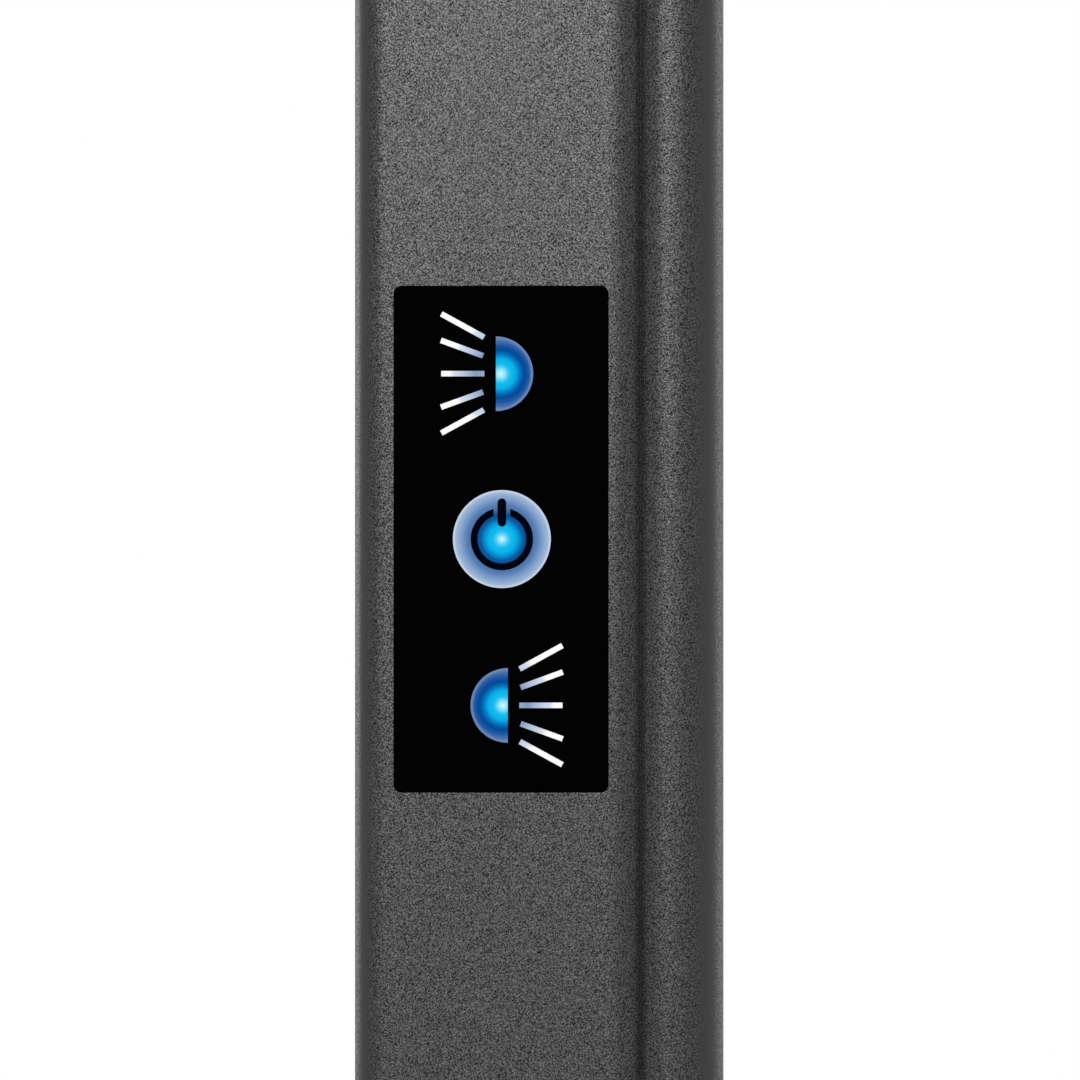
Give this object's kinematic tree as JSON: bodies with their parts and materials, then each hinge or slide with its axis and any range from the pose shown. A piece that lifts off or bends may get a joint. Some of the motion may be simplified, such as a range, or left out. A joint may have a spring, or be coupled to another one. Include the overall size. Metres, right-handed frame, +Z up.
{
  "type": "floor lamp",
  "caption": "Floor lamp with a weighted base, an extruded column with a flush touch panel, and jointed side arms that carry tilting dome heads.",
  "frame": {"origin": "on the floor under the middle of the base", "axes": "+Z up, the touch panel on the front towards -Y, the arms along +X and -X at rest"},
  "size_m": [1.0706, 0.28, 1.6458],
  "materials": {
    "powder_coat": "matte",
    "base_paint": "matte",
    "cast_weight": "matte",
    "rubber": "matte",
    "zinc_steel": "satin",
    "black_plastic": "matte",
    "grey_plastic": "matte",
    "contact_brass": "satin",
    "driver_case": "matte",
    "lead_sleeve": "matte",
    "gloss_black": "gloss",
    "white_plastic": "matte",
    "board_green": "satin",
    "white_board": "satin",
    "bush_nylon": "satin",
    "bare_aluminium": "satin",
    "white_gloss": "gloss",
    "opal_plastic": "satin"
  },
  "bodies": {
    "root": {"rubber_feet": "rubber", "base_weight": "cast_weight", "base_cover": "base_paint", "base_bolts": "zinc_steel", "column_shoe": "powder_coat", "shoe_screws": "zinc_steel", "column": "powder_coat", "inlet_box": "black_plastic", "inlet_pins": "contact_brass", "rear_screws": "zinc_steel", "driver_bracket": "zinc_steel", "led_driver": "driver_case", "column_leads": "lead_sleeve", "touch_panel": "gloss_black", "light_guide": "white_plastic", "touch_board": "board_green", "panel_tray": "black_plastic", "lower_bracket": "powder_coat", "bracket_screws": "zinc_steel", "pivot_pins": "zinc_steel", "upper_bracket": "powder_coat", "pivot_nuts": "zinc_steel", "top_cover": "grey_plastic"},
    "arm_left": {"arm_eye_left": "powder_coat", "eye_bushes_left": "bush_nylon", "arm_tube_left": "powder_coat", "arm_tip_left": "powder_coat", "arm_lead_left": "lead_sleeve"},
    "knuckle_left": {"swivel_left": "powder_coat", "swivel_grub_left": "zinc_steel"},
    "head_left": {"head_fork_left": "powder_coat", "tilt_washers_left": "bush_nylon", "tilt_bolt_left": "zinc_steel", "tilt_nut_left": "zinc_steel", "head_dome_left": "powder_coat", "head_screws_left": "zinc_steel", "heat_sink_left": "bare_aluminium", "led_board_left": "white_board", "reflector_left": "white_gloss", "diffuser_left": "opal_plastic", "trim_ring_left": "grey_plastic"},
    "arm_right": {"arm_eye_right": "powder_coat", "eye_bushes_right": "bush_nylon", "arm_tube_right": "powder_coat", "arm_tip_right": "powder_coat", "arm_lead_right": "lead_sleeve"},
    "knuckle_right": {"swivel_right": "powder_coat", "swivel_grub_right": "zinc_steel"},
    "head_right": {"head_fork_right": "powder_coat", "tilt_washers_right": "bush_nylon", "tilt_bolt_right": "zinc_steel", "tilt_nut_right": "zinc_steel", "head_dome_right": "powder_coat", "head_screws_right": "zinc_steel", "heat_sink_right": "bare_aluminium", "led_board_right": "white_board", "reflector_right": "white_gloss", "diffuser_right": "opal_plastic", "trim_ring_right": "grey_plastic"}
  },
  "joints": [
    {"name": "arm_swing_left", "type": "hinge", "parent": "root", "child": "arm_left", "pos_m": [-0.013, 0, 1.61215], "axis": [0, 0, 1], "range_deg": [-70, 70]},
    {"name": "head_turn_left", "type": "hinge", "parent": "arm_left", "child": "knuckle_left", "pos_m": [-0.4273, 0, 1.61215], "axis": [1, 0, 0], "range_deg": [-90, 90]},
    {"name": "head_tilt_left", "type": "hinge", "parent": "knuckle_left", "child": "head_left", "pos_m": [-0.4633, 0, 1.61215], "axis": [0, 1, 0], "range_deg": [-20, 110]},
    {"name": "arm_swing_right", "type": "hinge", "parent": "root", "child": "arm_right", "pos_m": [0.013, 0, 1.61215], "axis": [0, 0, 1], "range_deg": [-70, 70]},
    {"name": "head_turn_right", "type": "hinge", "parent": "arm_right", "child": "knuckle_right", "pos_m": [0.4273, 0, 1.61215], "axis": [1, 0, 0], "range_deg": [-90, 90]},
    {"name": "head_tilt_right", "type": "hinge", "parent": "knuckle_right", "child": "head_right", "pos_m": [0.4633, 0, 1.61215], "axis": [0, -1, 0], "range_deg": [-20, 110]}
  ]
}
